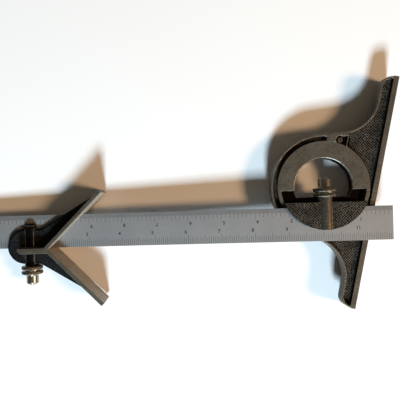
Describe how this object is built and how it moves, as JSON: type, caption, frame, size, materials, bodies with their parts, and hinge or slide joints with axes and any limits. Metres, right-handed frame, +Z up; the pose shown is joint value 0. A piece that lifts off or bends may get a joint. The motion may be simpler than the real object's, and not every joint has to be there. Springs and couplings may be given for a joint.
{
  "type": "combination square set",
  "caption": "Steel rule with a sliding centre-finding V head and a sliding protractor head on a turning turret.",
  "frame": {"origin": "middle of the whole object in X and Y, at the level of its lowest edge, the underside of the protractor's base", "axes": "+X along the blade from the centre head to the protractor head, +Y across the blade towards the turret, +Z up to the side with the turret's cover"},
  "size_m": [0.3136, 0.1748, 0.0316],
  "materials": {
    "satin_blade_steel": "satin ground steel with engraved scales",
    "black_casting": "black wrinkle enamel with machined working faces",
    "machined_casting": "fine machined face, black enamel in the recesses",
    "bronzed_steel": "polished and knurled steel",
    "plain_steel": "turned steel",
    "ring_steel": "satin steel with black filled degree lines",
    "spring_steel": "oiled spring wire"
  },
  "bodies": {
    "blade": {"blade": "satin_blade_steel"},
    "center_head": {"center_head_body": "black_casting"},
    "center_clamp_bolt": {"center_head_clamp_bolt": "plain_steel", "center_head_clamp_spring": "spring_steel"},
    "center_clamp_nut": {"center_head_clamp_nut": "bronzed_steel"},
    "turret": {"protractor_turret": "machined_casting", "turret_degree_ring": "ring_steel", "degree_ring_screws": "plain_steel"},
    "turret_clamp_bolt": {"protractor_clamp_bolt": "plain_steel", "protractor_clamp_spring": "spring_steel"},
    "turret_clamp_nut": {"protractor_clamp_nut": "bronzed_steel"},
    "protractor_frame": {"protractor_body": "machined_casting", "turret_lock_washer": "plain_steel"},
    "lock_bolt": {"turret_lock_bolt": "plain_steel"},
    "lock_nut": {"turret_lock_nut": "bronzed_steel"}
  },
  "joints": [
    {"name": "center_head_slide", "type": "slide", "parent": "blade", "child": "center_head", "axis": [1, 0, 0], "range_m": [-0.02, 0.05]},
    {"name": "turret_slide", "type": "slide", "parent": "blade", "child": "turret", "axis": [1, 0, 0], "range_m": [-0.05, 0.03]},
    {"name": "protractor_swivel", "type": "hinge", "parent": "turret", "child": "protractor_frame", "pos_m": [0.0988, 0.00604, 0.015], "axis": [0, 0, 1], "range_deg": [-78, 102]},
    {"name": "center_nut_turn", "type": "hinge", "parent": "center_head", "child": "center_clamp_nut", "pos_m": [-0.1267, -0.04856, 0.02045], "axis": [0, -1, 0], "range_deg": [0, 226]},
    {"name": "center_bolt_travel", "type": "slide", "parent": "center_head", "child": "center_clamp_bolt", "axis": [0, 1, 0], "range_m": [0, 0.0005]},
    {"name": "turret_nut_turn", "type": "hinge", "parent": "turret", "child": "turret_clamp_nut", "pos_m": [0.0988, -0.00186, 0.02045], "axis": [0, 1, 0], "range_deg": [0, 226]},
    {"name": "turret_bolt_travel", "type": "slide", "parent": "turret", "child": "turret_clamp_bolt", "axis": [0, -1, 0], "range_m": [0, 0.0005]},
    {"name": "lock_nut_turn", "type": "hinge", "parent": "protractor_frame", "child": "lock_nut", "pos_m": [0.11213, 0.04077, 0.008], "axis": [0, 0, -1], "range_deg": [0, 226]},
    {"name": "lock_bolt_travel", "type": "slide", "parent": "protractor_frame", "child": "lock_bolt", "axis": [0, 0, 1], "range_m": [0, 0.0005]}
  ],
  "couplings": [
    {"joint": "center_nut_turn", "follows": "center_bolt_travel", "rad_per_m": 7854},
    {"joint": "turret_nut_turn", "follows": "turret_bolt_travel", "rad_per_m": 7854},
    {"joint": "lock_nut_turn", "follows": "lock_bolt_travel", "rad_per_m": 7854}
  ]
}
